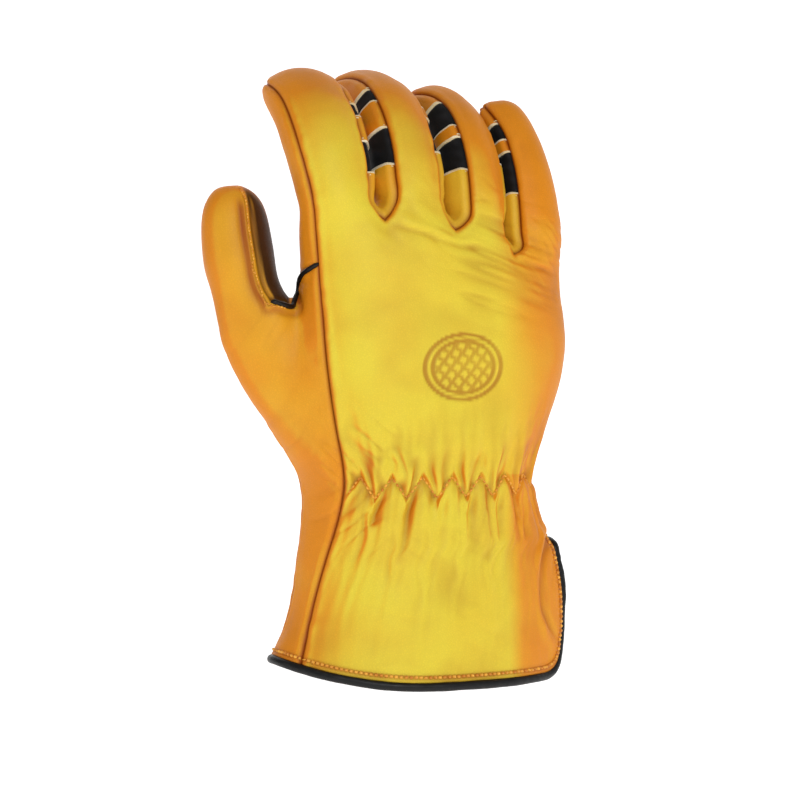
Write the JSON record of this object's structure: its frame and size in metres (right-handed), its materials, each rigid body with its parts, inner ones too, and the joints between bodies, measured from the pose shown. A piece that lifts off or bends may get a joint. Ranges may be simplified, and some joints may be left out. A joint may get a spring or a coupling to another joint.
{
  "type": "leather driver glove",
  "caption": "Right-hand leather driver glove, filled as when worn, fingers curled, with gathered wrist, black side-wall inserts, piping and a bound hem with a side vent.",
  "frame": {"origin": "the middle of the cuff's mouth, level with the lowest leather of the hem, where the hand goes in", "axes": "+X towards the little finger's side, +Y out of the palm, -Y out of the back of the hand, +Z along the hand towards the fingers"},
  "size_m": [0.1357, 0.0913, 0.2228],
  "materials": {
    "leather": "smooth grain, soft sheen",
    "black_fabric": "matt woven",
    "black_leather": "smooth, satin"
  },
  "bodies": {
    "root": {"back_panel": "leather", "gusset_1_crotch": "leather", "gusset_1_index_band": "leather", "gusset_1_index_lower_insert": "black_fabric", "gusset_1_index_tip": "leather", "gusset_1_index_upper_insert": "black_fabric", "gusset_1_middle_band": "leather", "gusset_1_middle_lower_insert": "black_fabric", "gusset_1_middle_tip": "leather", "gusset_1_middle_upper_insert": "black_fabric", "gusset_2_crotch": "leather", "gusset_2_middle_band": "leather", "gusset_2_middle_lower_insert": "black_fabric", "gusset_2_middle_tip": "leather", "gusset_2_middle_upper_insert": "black_fabric", "gusset_2_ring_band": "leather", "gusset_2_ring_lower_insert": "black_fabric", "gusset_2_ring_tip": "leather", "gusset_2_ring_upper_insert": "black_fabric", "gusset_3_crotch": "leather", "gusset_3_little_band": "leather", "gusset_3_little_lower_insert": "black_fabric", "gusset_3_little_tip": "leather", "gusset_3_little_upper_insert": "black_fabric", "gusset_3_ring_band": "leather", "gusset_3_ring_lower_insert": "black_fabric", "gusset_3_ring_tip": "leather", "gusset_3_ring_upper_insert": "black_fabric", "hem_binding": "black_leather", "palm_panel": "leather", "thumb_front": "leather", "thumb_panel": "leather", "web_piping": "black_leather"}
  },
  "joints": []
}
